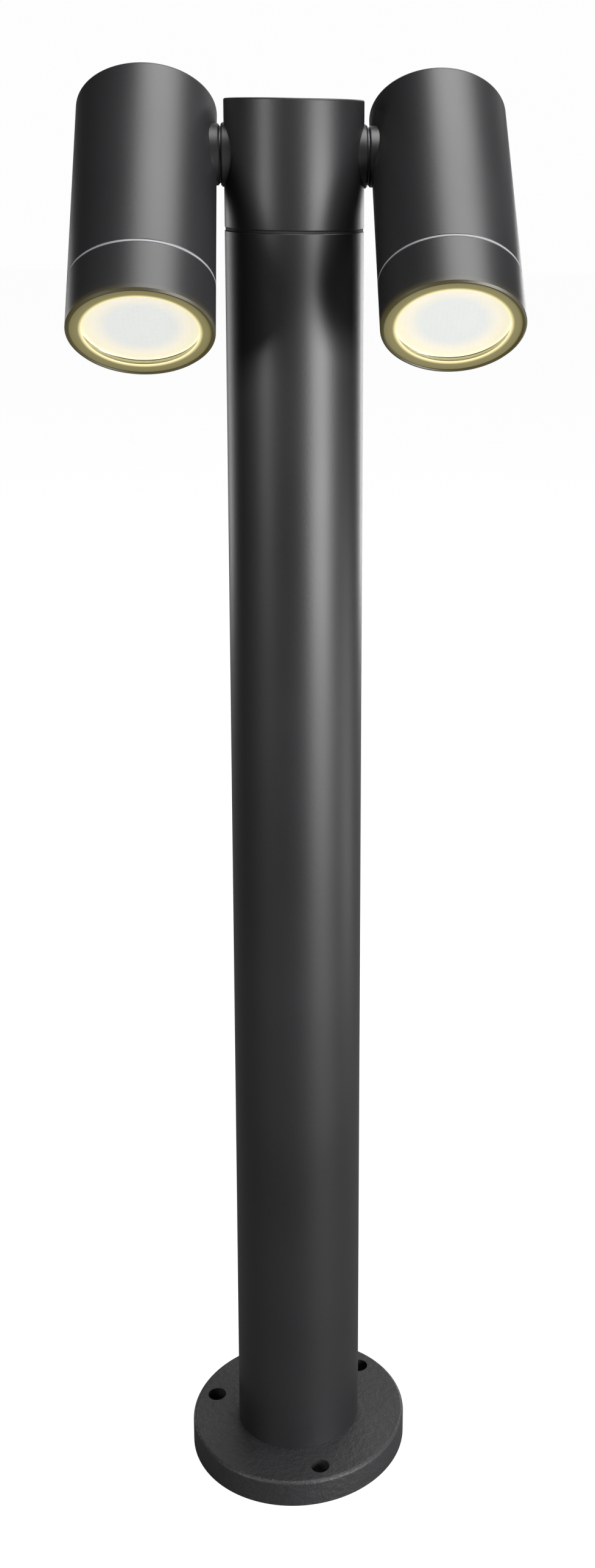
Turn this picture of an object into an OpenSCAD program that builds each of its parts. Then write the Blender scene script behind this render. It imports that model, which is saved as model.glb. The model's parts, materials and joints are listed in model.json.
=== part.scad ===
// Twin-spot garden post light: a bolted base flange, a tube post, a closed top collar and two
// cylindrical spot heads, each on its own hollow swivel stud. Millimetres, +Z up.
// The origin is the centre of the base flange's underside. The heads shine towards -Y.

/* [Post] */
// Height from the ground to the top of the collar
overall_h = 658; // [500:1:1000]
// Outer diameter of the post tube and of the collar
post_d = 60; // [50:1:80]
// Wall of the post tube
post_wall = 2; // [1.5:0.1:3]

/* [Base] */
// Outer diameter of the base flange
flange_d = 106; // [100:1:160]
// Thickness of the base flange
flange_h = 13; // [10:0.5:20]
// Rounding of the flange's top edge
flange_edge = 1.6; // [0.5:0.1:3]
// Bolt circle of the three fixing holes
bolt_pcd = 87; // [86:0.5:130]
// Diameter of each fixing hole
bolt_hole_d = 9; // [6:0.5:11]
// Angle of the first fixing hole from +X
bolt_turn = 42.5; // [0:0.5:120]
// Height of the inner sleeve above the flange
sleeve_h = 45; // [30:1:80]
// Wall of the inner sleeve and of the collar's spigot
sleeve_wall = 3.6; // [3:0.1:5]
// Bore of the rubber grommet that the supply cable comes through
cable_bore_d = 10; // [7:0.5:13]

/* [Collar] */
// Height of the collar from the seam to its top
collar_h = 54; // [50:0.5:80]
// Side wall of the collar
collar_wall = 4; // [3:0.5:5]
// Closed top of the collar
collar_top = 4; // [3:0.5:6]
// Thickness of the rubber gasket in the seam
seam_h = 1; // [0.6:0.1:2]
// Length of the collar's spigot inside the tube
spigot_h = 30; // [20:1:60]

/* [Swivels] */
// Distance from the collar's top down to the swivel axis
pivot_drop = 23.5; // [21:0.5:30]
// Clear gap between the collar and each head
head_gap = 3; // [2.4:0.1:8]
// Diameter of the round boss on the collar
boss_d = 27; // [24:0.5:30]
// Diameter of the hollow swivel stud
stud_d = 10; // [8:0.5:12]
// Bore of the swivel stud
stud_bore = 6; // [5:0.5:7]
// Tilt of the left head below the horizon
left_tilt = 48.7; // [0:0.1:90]
// Tilt of the right head below the horizon
right_tilt = 46; // [0:0.1:90]
// Full swing that the stop allows, from straight up to straight down
swing = 180; // [90:5:200]

/* [Heads] */
// Outer diameter of each head
head_d = 60; // [58:1:80]
// Distance from the swivel axis back to the closed end
head_back = 24; // [22:0.5:40]
// Distance from the swivel axis forward to the front rim
head_front = 93; // [92:0.5:130]
// Length of the screwed front ring
ring_l = 23.2; // [18:0.1:30]
// Wall of the head's housing
head_wall = 2.5; // [2:0.1:4]
// Closed end of the head's housing
back_wall = 4; // [3.5:0.5:6]
// Thickness of the pale seal between the housing and the ring
ring_seal_h = 0.9; // [0.5:0.1:2]
// Wall of the front ring
ring_wall = 1.2; // [1:0.1:2]
// Thickness of the front glass
glass_h = 3; // [2:0.5:5]
// Diameter of the lit opening inside the glass gasket
lit_d = 47; // [40:0.5:50]

/* [Lamp] */
// Diameter of the reflector lamp
lamp_d = 50; // [40:0.5:50]
// Length of the reflector lamp without its pins
lamp_l = 48.5; // [45:0.5:50]
// Distance between the lamp's two pins
pin_pitch = 10; // [9:0.5:11]

/* [Terminals] */
// Pitch of the three terminal poles
pole_pitch = 9; // [8:0.5:9]
// Thickness of the steel brackets
bracket_t = 1.5; // [1:0.1:2]

/* [Hidden] */
LEFT = -1;
RIGHT = 1;
$fn = 96;

// Clearances: a shaft in its bore, a ring on its thread, a slip fit, a touching face; and the overshoot of a cut
run_fit = 0.05;
turn_fit = 0.1;
slip = 0.25;
touch = 0.05;
cut = 1;

// Post, base and collar
post_r = post_d / 2;
tube_in_r = post_r - post_wall;
sleeve_r = tube_in_r - slip;
sleeve_in_r = sleeve_r - sleeve_wall;
sleeve_seat = 3;
seam_z = overall_h - collar_h;
tube_top = seam_z - seam_h;
edge_break = 0.4;
grommet_lip = 2.5;
grommet_lip_h = 2;
grommet_seat_r = cable_bore_d / 2 + 3;
collar_in_r = post_r - collar_wall;
collar_ceiling = overall_h - collar_top;
collar_edge = 0.8;

// Set screws and small machine screws
set_r = 2.5;
set_socket_af = 2.5;
set_angles = [60, 120];
base_set_z = flange_h + sleeve_h * 0.55;
collar_set_z = tube_top - spigot_h * 0.45;
sleeve_screw_n = 3;
sleeve_screw_turn = bolt_turn + 60;
m3_r = 1.5;
m3_head_r = 2.7;
m3_head_h = 2;
m4_r = 2;
m4_head_r = 3.5;
m4_head_h = 2.5;
thread_gap = 0.04;

// Swivels, measured along X outwards from the post's axis
pivot_z = overall_h - pivot_drop;
stud_r = stud_d / 2;
boss_r = boss_d / 2;
boss_edge = 0.7;
boss_face = post_r + head_gap * 0.4;
friction_h = 0.5;
friction_r = boss_r - 1.5;
head_face = boss_face + friction_h + 2 * touch;
pad_x = post_r - 8;
wave_h = 0.8;
wave_r = stud_r + 3.4;
stop_h = 1.2;
stop_pin_r = 1.5;
stop_pin_at = wave_r + stop_pin_r + 0.6;
stop_r = stop_pin_at + 1.2;
stop_hub_r = stud_r + 2.5;
stop_margin = 1;
stop_pin_gap = 0.2;
pin_half_angle = asin(stop_pin_r / stop_pin_at);
stop_half_angle = (360 - swing) / 2 - pin_half_angle - stop_margin;
nut_h = 5;
nut_af = stud_d + 6;
wave_x = pad_x - touch - wave_h;
stop_x = wave_x - touch - stop_h;
nut_x = stop_x - touch - nut_h;
stud_in = nut_x - 1.3;
seal_ring_r = stud_r + 2.6;
seal_cord_r = 0.7;
lead_r = 2.2;
lead_split = pad_x - 2;

// Heads, measured along each head's own axis from the swivel axis, +Z towards the glass
head_r = head_d / 2;
head_x = post_r + head_gap + head_r;
head_in_r = head_r - head_wall;
head_edge = 1.6;
head_boss_r = boss_r - 0.5;
head_pad = head_in_r - 2.5;
ring_back = head_front - ring_l;
shoulder_z = ring_back - ring_seal_h - touch;
ring_bore_r = head_r - ring_wall;
neck_r = ring_bore_r - turn_fit;
neck_wall = 2.3;
neck_in_r = neck_r - neck_wall;
ring_edge = 0.8;
lip_h = 0.7;
lip_r = ring_bore_r - 0.5;
gasket_wall = 0.95;
gasket_lip_h = 0.5;
glass_front_z = head_front - lip_h - gasket_lip_h - 2 * touch;
glass_back_z = glass_front_z - glass_h;
glass_r = ring_bore_r - gasket_wall - 2 * touch;
gasket_back_z = glass_back_z - 1;
neck_front = gasket_back_z - touch;

// Lamp, holder and bracket, on the same axis
lamp_front_z = neck_front - 0.3;
lamp_back_z = lamp_front_z - lamp_l;
lamp_r = lamp_d / 2;
lamp_neck_r = 11;
lamp_rim_h = 5;
lens_r = lamp_r - 1.2;
lens_h = 2;
pin_r = 1.25;
pin_head_r = 2.4;
pin_l = 7;
holder_r = 13;
holder_front_z = lamp_back_z - 0.2;
holder_h = 16;
holder_back_z = holder_front_z - holder_h;
holder_screw_at = 9;
plate_back_z = holder_back_z - bracket_t;
leg_y = head_in_r - 4.5;
leg_w = 14;
floor_z = back_wall - head_back;
foot_l = 10;
foot_at = leg_y - 6;
lead_pull = 0.8;

// Terminal strip behind the swivels
strip_y = 14.5;
strip_w = 14;
strip_bottom = seam_z - spigot_h - 36;
tab_boss_r = 4.5;
tab_boss_h = 6;
tab_z = collar_ceiling - tab_boss_h - bracket_t;
tab_y = 9;
block_w = 3 * pole_pitch;
block_d = 15;
block_h = 18;
block_z = strip_bottom + 4;
block_front = strip_y - block_d;
block_screw_x = pole_pitch / 2;
block_screw_fit = 0.3;
clamp_r = 0.3 * pole_pitch;
block_screw_r = block_screw_x - clamp_r - block_screw_fit;
block_head_r = block_screw_r + 0.8;
clamp_in = block_d * 0.55;
clamp_y = strip_y - clamp_in;
clamp_wall = 0.7;
clamp_screw_r = 1.4;
block_recess = block_d - clamp_in - clamp_r - block_screw_fit;
well_r = 2.2;
well_at = 5;
clamp_bore_r = clamp_r - clamp_wall;
wire_gap = 0.15;
wire_r = clamp_bore_r / 2 - wire_gap;
wire_at = wire_r + 0.25;
wire_pair = wire_r + wire_gap;
wire_layer = 3.2;
wire_drop = 0.4;
earth_z = tab_z - 44;
lead_end_x = 5;
lead_end_y = clamp_y;
lead_end_z = block_z + block_h + 24;

function tilt_of(side) = side < 0 ? left_tilt : right_tilt;

// Points of a round edge: n + 1 points of an arc about c, from angle a to angle b
function arc(c, r, a, b, n = 6) =
  [for (i = [0:n]) let (t = a + (b - a) * i / n) [c[0] + r * cos(t), c[1] + r * sin(t)]];

// Points of a cubic curve from a to d, pulled towards b and c
function curve(a, b, c, d, n = 16) =
  [for (i = [0:n]) let (t = i / n, u = 1 - t)
    u * u * u * a + 3 * u * u * t * b + 3 * u * t * t * c + t * t * t * d];

// Direction of a path at point i
function unit(v) = v / norm(v);
function heading(path, i) =
  unit(path[min(i + 1, len(path) - 1)] - path[max(i - 1, 0)]);

// One side direction per point, each carried over from the one before it
function sides(path, i = 0, last = [0, 1, 0]) =
  i >= len(path) ? [] :
  let (h = heading(path, i), s = unit(last - (last * h) * h))
  concat([s], sides(path, i + 1, s));

// A round tube of radius r that follows a path
module tube_along(path, r, n = 10, first = [0, 1, 0]) {
  side_dirs = sides(path, 0, first);
  m = len(path);
  rings = [for (i = [0:m - 1]) let (h = heading(path, i), s = side_dirs[i], w = cross(h, s))
    for (k = [0:n - 1]) path[i] + r * (cos(360 * k / n) * s + sin(360 * k / n) * w)];
  walls = [for (i = [0:m - 2]) for (k = [0:n - 1]) let (a = i * n + k, b = i * n + (k + 1) % n)
    each [[a, b + n, b], [a, a + n, b + n]]];
  last_ring = (m - 1) * n;
  start = [for (k = [1:n - 2]) [0, k, k + 1]];
  end = [for (k = [1:n - 2]) [last_ring, last_ring + k + 1, last_ring + k]];
  polyhedron(points = rings, faces = concat(start, walls, end));
}

// Puts its children on one side of the post; they are drawn for the right side
module on_side(side) {
  if (side < 0) mirror([1, 0, 0]) children();
  else children();
}

// The swivel's own frame: its axis is +Z, which points outwards from the post
module swivel_frame(side) {
  on_side(side) translate([0, 0, pivot_z]) rotate([0, 90, 0]) children();
}

// A head's own frame: +Z is its axis towards the glass, and -X faces the collar
module head_frame(side) {
  on_side(side) translate([head_x, 0, pivot_z]) rotate([90 + tilt_of(side), 0, 0]) children();
}

// A ring between two radii, from z = low up to high
module ring(r_out, r_in, low, high) {
  difference() {
    translate([0, 0, low]) cylinder(r = r_out, h = high - low);
    translate([0, 0, low - cut]) cylinder(r = r_in, h = high - low + 2 * cut);
  }
}

// A hexagon prism across its flats
module hex(af, h) {
  cylinder(r = af / 2 / cos(30), h = h, $fn = 6);
}

// ---------------------------------------------------------------- base and post

module base_flange() {
  color([0.16, 0.16, 0.17]) difference() {
    rotate_extrude() polygon(concat(
      [[0, 0], [flange_d / 2, 0]],
      arc([flange_d / 2 - flange_edge, flange_h - flange_edge], flange_edge, 0, 90),
      [[0, flange_h]]));
    for (i = [0:2]) rotate(bolt_turn + 120 * i) translate([bolt_pcd / 2, 0, -cut])
      cylinder(d = bolt_hole_d, h = flange_h + 2 * cut);
    ring(sleeve_r + touch, sleeve_in_r - touch, flange_h - sleeve_seat, flange_h + cut);
    translate([0, 0, -cut]) cylinder(r = grommet_seat_r + touch, h = flange_h + 2 * cut);
    translate([0, 0, -cut]) cylinder(r = grommet_seat_r + grommet_lip + touch, h = grommet_lip_h + 0.5 + cut);
    sleeve_screw_places() {
      translate([0, 0, -cut]) cylinder(r = m3_r + 0.1, h = flange_h + 2 * cut);
      translate([0, 0, -cut]) cylinder(r = m3_head_r + 0.2, h = m3_head_h + 1 + cut);
    }
  }
}

module sleeve_screw_places() {
  for (i = [0:sleeve_screw_n - 1]) rotate(sleeve_screw_turn + 360 * i / sleeve_screw_n)
    translate([(sleeve_r + sleeve_in_r) / 2, 0, 0]) children();
}

module base_sleeve() {
  low = flange_h - sleeve_seat + touch;
  color([0.62, 0.63, 0.65]) difference() {
    ring(sleeve_r, sleeve_in_r, low, flange_h + sleeve_h);
    sleeve_screw_places() translate([0, 0, low - cut]) cylinder(r = m3_r + thread_gap, h = 12 + cut);
    set_holes(base_set_z, set_r + thread_gap);
  }
}

module sleeve_screws() {
  head_z = m3_head_h + 1 - touch;
  color([0.7, 0.71, 0.73]) sleeve_screw_places() {
    translate([0, 0, head_z - m3_head_h]) difference() {
      cylinder(r = m3_head_r, h = m3_head_h);
      translate([0, 0, -cut]) hex(2.5, 1.2 + cut);
    }
    translate([0, 0, head_z - touch]) cylinder(r = m3_r, h = flange_h - sleeve_seat + 9 - head_z);
  }
}

module cable_grommet() {
  bore_r = cable_bore_d / 2;
  lip_r = grommet_seat_r + grommet_lip;
  low = 0.4;
  color([0.06, 0.06, 0.06]) rotate_extrude() polygon([
    [bore_r, low], [lip_r - 0.5, low], [lip_r, low + 0.5], [lip_r, low + grommet_lip_h],
    [grommet_seat_r, low + grommet_lip_h + 0.1], [grommet_seat_r, flange_h + touch],
    [lip_r, flange_h + touch], [lip_r, flange_h + grommet_lip_h - 0.6],
    [lip_r - 0.6, flange_h + grommet_lip_h], [bore_r, flange_h + grommet_lip_h]]);
}

module post_tube() {
  color([0.17, 0.17, 0.18]) difference() {
    rotate_extrude() polygon([
      [tube_in_r, flange_h + touch], [post_r, flange_h + touch], [post_r, tube_top - edge_break],
      [post_r - edge_break, tube_top], [tube_in_r, tube_top]]);
    set_holes(base_set_z, set_r + 0.1);
    set_holes(collar_set_z, set_r + 0.1);
  }
}

// Radial holes for the set screws, all on the back of the post
module set_holes(z, r) {
  for (a = set_angles) rotate(a) translate([0, 0, z]) rotate([0, 90, 0])
    translate([0, 0, sleeve_in_r / 2]) cylinder(r = r, h = post_r);
}

// Socket set screws through the tube wall into the sleeve or the spigot
module set_screws(z) {
  deep = sleeve_in_r + 0.4;
  color([0.35, 0.35, 0.37]) for (a = set_angles) rotate(a) translate([0, 0, z]) rotate([0, 90, 0])
    difference() {
      translate([0, 0, deep]) cylinder(r = set_r, h = post_r - 0.4 - deep);
      translate([0, 0, post_r - 2.6]) hex(set_socket_af, 2.6 + cut);
    }
}

module seam_gasket() {
  color([0.04, 0.04, 0.04]) ring(post_r - 0.3, sleeve_r + touch, tube_top + touch, seam_z - touch);
}

// ---------------------------------------------------------------- collar and terminals

module top_collar() {
  color([0.17, 0.17, 0.18]) difference() {
    union() {
      rotate_extrude() polygon(concat(
        [[0, overall_h], [0, collar_ceiling], [collar_in_r, collar_ceiling],
         [collar_in_r, seam_z + 4], [sleeve_in_r, seam_z], [sleeve_in_r, seam_z - spigot_h],
         [sleeve_r, seam_z - spigot_h], [sleeve_r, seam_z], [post_r - edge_break, seam_z],
         [post_r, seam_z + edge_break]],
        arc([post_r - collar_edge, overall_h - collar_edge], collar_edge, 0, 90, 4)));
      for (side = [LEFT, RIGHT]) swivel_frame(side) boss(pad_x, boss_face, boss_r);
      translate([0, tab_y, collar_ceiling - tab_boss_h]) cylinder(r = tab_boss_r, h = tab_boss_h + cut);
      for (side = [LEFT, RIGHT]) swivel_frame(side)
        translate([0, stop_pin_at, stop_x + stop_pin_gap]) cylinder(r = stop_pin_r, h = pad_x - stop_x);
    }
    for (side = [LEFT, RIGHT]) swivel_frame(side) {
      translate([0, 0, pad_x - cut]) cylinder(r = stud_r + run_fit, h = boss_face - pad_x + 2 * cut);
      ring(seal_ring_r + seal_cord_r + touch, seal_ring_r - seal_cord_r - touch,
        boss_face - 2 * seal_cord_r - touch, boss_face + cut);
    }
    translate([0, tab_y, collar_ceiling - tab_boss_h - cut])
      cylinder(r = m4_r + thread_gap, h = tab_boss_h + 1.5 + cut);
    set_holes(collar_set_z, set_r + thread_gap);
  }
}

// A round boss with a broken outer edge
module boss(low, high, r) {
  rotate_extrude() polygon([[0, low], [r, low], [r, high - boss_edge], [r - boss_edge, high], [0, high]]);
}

module terminal_bracket() {
  color([0.72, 0.73, 0.74]) difference() {
    union() {
      translate([-strip_w / 2, strip_y, strip_bottom])
        cube([strip_w, bracket_t, tab_z + bracket_t - strip_bottom - touch]);
      translate([-strip_w / 2, tab_y - 5, tab_z])
        cube([strip_w, strip_y - tab_y + 5 + bracket_t, bracket_t - touch]);
    }
    translate([0, tab_y, tab_z - cut]) cylinder(r = m4_r + 0.2, h = bracket_t + 2 * cut);
    translate([0, strip_y - cut, earth_z]) rotate([-90, 0, 0])
      cylinder(r = m4_r + thread_gap, h = bracket_t + 2 * cut);
    translate([block_screw_x, strip_y - cut, block_z + block_h / 2]) rotate([-90, 0, 0])
      cylinder(r = block_screw_r + thread_gap, h = bracket_t + 2 * cut);
  }
}

module bracket_screws() {
  block_head_y = block_front + block_recess - m3_head_h;
  color([0.7, 0.71, 0.73]) {
    translate([0, tab_y, tab_z - m4_head_h - touch]) {
      difference() {
        cylinder(r = m4_head_r, h = m4_head_h);
        translate([0, 0, -cut]) hex(3, 1.4 + cut);
      }
      translate([0, 0, m4_head_h - touch]) cylinder(r = m4_r, h = bracket_t + tab_boss_h);
    }
    translate([block_screw_x, block_head_y, block_z + block_h / 2]) rotate([-90, 0, 0]) {
      cylinder(r = block_head_r, h = m3_head_h);
      translate([0, 0, m3_head_h - touch])
        cylinder(r = block_screw_r, h = strip_y + bracket_t + 1.5 - block_head_y - m3_head_h);
    }
  }
}

function pole_x(i) = (i - 1) * pole_pitch;

module terminal_block() {
  color([0.9, 0.88, 0.8]) difference() {
    union() {
      for (i = [0:2]) translate([pole_x(i) - pole_pitch / 2 + 0.4, block_front, block_z])
        cube([pole_pitch - 0.8, block_d - touch, block_h]);
      translate([-block_w / 2 + 0.4, block_front + 3, block_z + 3])
        cube([block_w - 0.8, block_d - 3 - touch, block_h - 6]);
    }
    for (i = [0:2]) translate([pole_x(i), 0, 0]) {
      translate([0, clamp_y, block_z - cut]) cylinder(r = clamp_r + touch, h = block_h + 2 * cut);
      for (s = [-1, 1]) translate([0, block_front - cut, block_z + block_h / 2 + s * well_at])
        rotate([-90, 0, 0]) cylinder(r = well_r, h = clamp_y - block_front + cut);
    }
    translate([block_screw_x, block_front - cut, block_z + block_h / 2]) rotate([-90, 0, 0]) {
      cylinder(r = block_screw_r + 0.1, h = block_d + 2 * cut);
      cylinder(r = block_head_r + 0.1, h = block_recess + touch + cut);
    }
  }
}

// One brass tube per pole with its two clamping screws
module terminal_clamps() {
  color([0.78, 0.6, 0.28]) for (i = [0:2]) translate([pole_x(i), 0, 0]) {
    difference() {
      translate([0, clamp_y, block_z + 1.5]) cylinder(r = clamp_r, h = block_h - 3);
      translate([0, clamp_y, block_z]) cylinder(r = clamp_bore_r, h = block_h);
      for (s = [-1, 1]) translate([0, block_front, block_z + block_h / 2 + s * well_at]) rotate([-90, 0, 0])
        cylinder(r = clamp_screw_r + thread_gap, h = clamp_y - block_front);
    }
    for (s = [-1, 1]) translate([0, clamp_y - clamp_r - 2.6, block_z + block_h / 2 + s * well_at])
      rotate([-90, 0, 0]) difference() {
        cylinder(r = clamp_screw_r, h = 3.6);
        translate([-clamp_screw_r, -0.25, -cut]) cube([2 * clamp_screw_r, 0.5, 0.8 + cut]);
      }
  }
}

module earth_screw() {
  color([0.78, 0.6, 0.28]) translate([0, strip_y, earth_z]) rotate([-90, 0, 0]) {
    translate([0, 0, -1 - touch]) difference() {
      cylinder(r = 4.5, h = 1);
      translate([0, 0, -cut]) cylinder(r = m4_r + 0.1, h = 1 + 2 * cut);
    }
    translate([0, 0, -1 - 2 * touch - m4_head_h]) difference() {
      union() {
        cylinder(r = m4_head_r, h = m4_head_h);
        translate([0, 0, m4_head_h - touch]) cylinder(r = m4_r, h = 1 + bracket_t + 2.5);
      }
      translate([-m4_head_r, -0.4, -cut]) cube([2 * m4_head_r, 0.8, 1 + cut]);
    }
  }
}

// Where each wire of a lead leaves the sleeve's end, and where it enters its pole
function wire_start(side, i) =
  [side * lead_end_x + wire_at * cos(240 * i - 90), lead_end_y + wire_at * sin(240 * i - 90),
   lead_end_z - wire_drop];
function wire_end(side, i) = [pole_x(i) + side * wire_pair, clamp_y, block_z + block_h - 2];

// Both heads' wires to pole i. Each pole's wires bow in a layer of their own and stay clear where they cross
module wire_pair_to(i) {
  bow = (i - 1) * wire_layer;
  for (side = [LEFT, RIGHT]) {
    a = wire_start(side, i);
    b = wire_end(side, i);
    tube_along(curve(a, a + [0, bow, -9], b + [0, bow, 12], b, 14), wire_r, 8);
  }
}

module live_wires() {
  color([0.35, 0.18, 0.1]) wire_pair_to(0);
}

module neutral_wires() {
  color([0.1, 0.25, 0.6]) wire_pair_to(1);
}

module earth_wires() {
  color([0.3, 0.6, 0.2]) wire_pair_to(2);
}

// The lead from the middle of the swivel bore, inwards and down to the terminals
module collar_lead(side) {
  a = [lead_split - touch, 0, pivot_z];
  b = [stud_in - 1, 0, pivot_z];
  c = [lead_end_x, lead_end_y, lead_end_z];
  bend = curve(b, b - [6, 0, 0], c + [0, 0, pivot_z - lead_end_z - 4], c, 26);
  color([0.85, 0.84, 0.8]) on_side(side) tube_along(concat([a], bend), lead_r, 10);
}

// ---------------------------------------------------------------- swivels

module boss_seal(side) {
  color([0.05, 0.05, 0.05]) swivel_frame(side) translate([0, 0, boss_face - seal_cord_r - touch / 2])
    rotate_extrude() translate([seal_ring_r, 0]) circle(r = seal_cord_r, $fn = 24);
}

module friction_washer(side) {
  color([0.75, 0.76, 0.78]) swivel_frame(side)
    ring(friction_r, stud_r + 0.15, boss_face + touch, boss_face + touch + friction_h);
}

module wave_washer(side) {
  color([0.75, 0.76, 0.78]) swivel_frame(side) ring(wave_r, stud_r + 0.15, wave_x, wave_x + wave_h);
}

// A hub with a sector that meets the collar's stop pin at each end of the swing
module stop_washer(side) {
  color([0.6, 0.61, 0.63]) on_side(side) translate([0, 0, pivot_z]) rotate([tilt_of(side), 0, 0])
    rotate([0, 90, 0]) difference() {
      translate([0, 0, stop_x]) linear_extrude(stop_h) {
        circle(r = stop_hub_r);
        polygon(concat([[0, 0]], arc([0, 0], stop_r, -90 - stop_half_angle, -90 + stop_half_angle, 24)));
      }
      translate([0, 0, stop_x - cut]) cylinder(r = stud_r + thread_gap, h = stop_h + 2 * cut);
    }
}

module swivel_stud(side) {
  stud_out = head_x - head_pad + nut_h + 1.3;
  color([0.7, 0.71, 0.73]) swivel_frame(side) ring(stud_r, stud_bore / 2, stud_in, stud_out);
}

// One nut inside the collar and one inside the head
module swivel_nuts(side) {
  color([0.7, 0.71, 0.73]) swivel_frame(side) for (x = [nut_x, head_x - head_pad + touch])
    translate([0, 0, x]) rotate(tilt_of(side)) difference() {
      hex(nut_af, nut_h - touch);
      translate([0, 0, -cut]) cylinder(r = stud_r + thread_gap, h = nut_h + 2 * cut);
    }
}

// ---------------------------------------------------------------- heads

module head_housing(side) {
  color([0.2, 0.2, 0.21]) head_frame(side) difference() {
    union() {
      rotate_extrude() polygon(concat(
        [[0, -head_back]],
        arc([head_r - head_edge, -head_back + head_edge], head_edge, -90, 0),
        [[head_r, shoulder_z - 0.3], [head_r - 0.3, shoulder_z], [neck_r, shoulder_z],
         [neck_r, neck_front], [neck_in_r, neck_front], [neck_in_r, shoulder_z - 3],
         [head_in_r, shoulder_z - 3 - (head_in_r - neck_in_r)],
         [head_in_r, floor_z], [0, floor_z]]));
      rotate([0, -90, 0]) boss(head_pad, head_x - head_face, head_boss_r);
    }
    rotate([0, -90, 0]) translate([0, 0, head_pad - cut]) cylinder(r = stud_r + thread_gap, h = head_x);
    for (s = [-1, 1]) translate([0, s * foot_at, floor_z - 3]) cylinder(r = m3_r + thread_gap, h = 3 + cut);
  }
}

module ring_seal(side) {
  color([0.75, 0.75, 0.76]) head_frame(side)
    ring(head_r, neck_r + touch, shoulder_z + touch, ring_back - touch);
}

module front_ring(side) {
  color([0.2, 0.2, 0.21]) head_frame(side) rotate_extrude() polygon([
    [ring_bore_r, ring_back], [head_r - 0.3, ring_back], [head_r, ring_back + 0.3],
    [head_r, head_front - ring_edge], [head_r - ring_edge, head_front], [lip_r + 0.3, head_front],
    [lip_r, head_front - 0.3], [lip_r, head_front - lip_h], [ring_bore_r, head_front - lip_h]]);
}

module front_glass(side) {
  color([0.95, 0.95, 0.9]) head_frame(side) translate([0, 0, glass_back_z])
    cylinder(r = glass_r, h = glass_h);
}

// A channel-shaped ring around the glass's edge
module glass_gasket(side) {
  out_r = neck_r;
  in_r = glass_r + touch;
  front_z = head_front - lip_h - touch;
  color([0.6, 0.58, 0.48]) head_frame(side) rotate_extrude() polygon([
    [lit_d / 2, glass_front_z + touch], [in_r, glass_front_z + touch], [in_r, glass_back_z - touch],
    [lit_d / 2 + 1, glass_back_z - touch], [lit_d / 2 + 1, gasket_back_z], [out_r, gasket_back_z],
    [out_r, front_z], [lit_d / 2, front_z]]);
}

module lamp_holder(side) {
  color([0.93, 0.92, 0.88]) head_frame(side) difference() {
    translate([0, 0, holder_back_z]) cylinder(r = holder_r, h = holder_h);
    for (s = [-1, 1]) {
      translate([s * pin_pitch / 2, 0, holder_front_z - pin_l - 0.8])
        cylinder(r = pin_head_r + 0.2, h = pin_l + 0.8 + cut);
      translate([0, s * holder_screw_at, holder_back_z - cut])
        cylinder(r = m3_r + 0.1, h = holder_h + 2 * cut);
      translate([0, s * holder_screw_at, holder_front_z - 4]) cylinder(r = m3_head_r + 0.2, h = 4 + cut);
    }
  }
}

// A strap across the housing with two legs that stand on its closed end
module holder_bracket(side) {
  leg_l = holder_back_z - floor_z - 2 * touch;
  color([0.72, 0.73, 0.74]) head_frame(side) difference() {
    union() {
      translate([-leg_w / 2, -leg_y, plate_back_z - touch]) cube([leg_w, 2 * leg_y, bracket_t]);
      for (s = [0, 1]) mirror([0, s, 0]) {
        translate([-leg_w / 2, leg_y - bracket_t, floor_z + touch]) cube([leg_w, bracket_t, leg_l]);
        translate([-leg_w / 2, leg_y - foot_l, floor_z + touch]) cube([leg_w, foot_l, bracket_t]);
      }
    }
    translate([0, 0, plate_back_z - cut]) cylinder(r = lead_r + 1.2, h = bracket_t + 2 * cut);
    for (s = [-1, 1]) {
      translate([0, s * holder_screw_at, plate_back_z - cut])
        cylinder(r = m3_r + 0.1, h = bracket_t + 2 * cut);
      translate([0, s * foot_at, floor_z - cut]) cylinder(r = m3_r + 0.1, h = bracket_t + 2 * cut);
    }
  }
}

module screw_m3(under_head, length) {
  difference() {
    translate([0, 0, under_head]) cylinder(r = m3_head_r, h = m3_head_h);
    translate([-m3_head_r - cut, -0.35, under_head + m3_head_h - 0.8])
      cube([2 * m3_head_r + 2 * cut, 0.7, 0.8 + cut]);
  }
  translate([0, 0, under_head - length]) cylinder(r = m3_r, h = length + touch);
}

// Two screws with nuts that hold the ceramic holder to its bracket
module holder_screws(side) {
  nut_z = plate_back_z - 2.4 - 2 * touch;
  color([0.7, 0.71, 0.73]) head_frame(side) for (s = [-1, 1]) translate([0, s * holder_screw_at, 0]) {
    screw_m3(holder_front_z - 4 + touch, holder_h - 4 + bracket_t + 4);
    difference() {
      translate([0, 0, nut_z]) hex(5.5, 2.4);
      translate([0, 0, nut_z - cut]) cylinder(r = m3_r + thread_gap, h = 2.4 + 2 * cut);
    }
  }
}

module foot_screws(side) {
  color([0.7, 0.71, 0.73]) head_frame(side) for (s = [-1, 1]) translate([0, s * foot_at, 0])
    screw_m3(floor_z + bracket_t + 2 * touch, bracket_t + 2.6);
}

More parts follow.
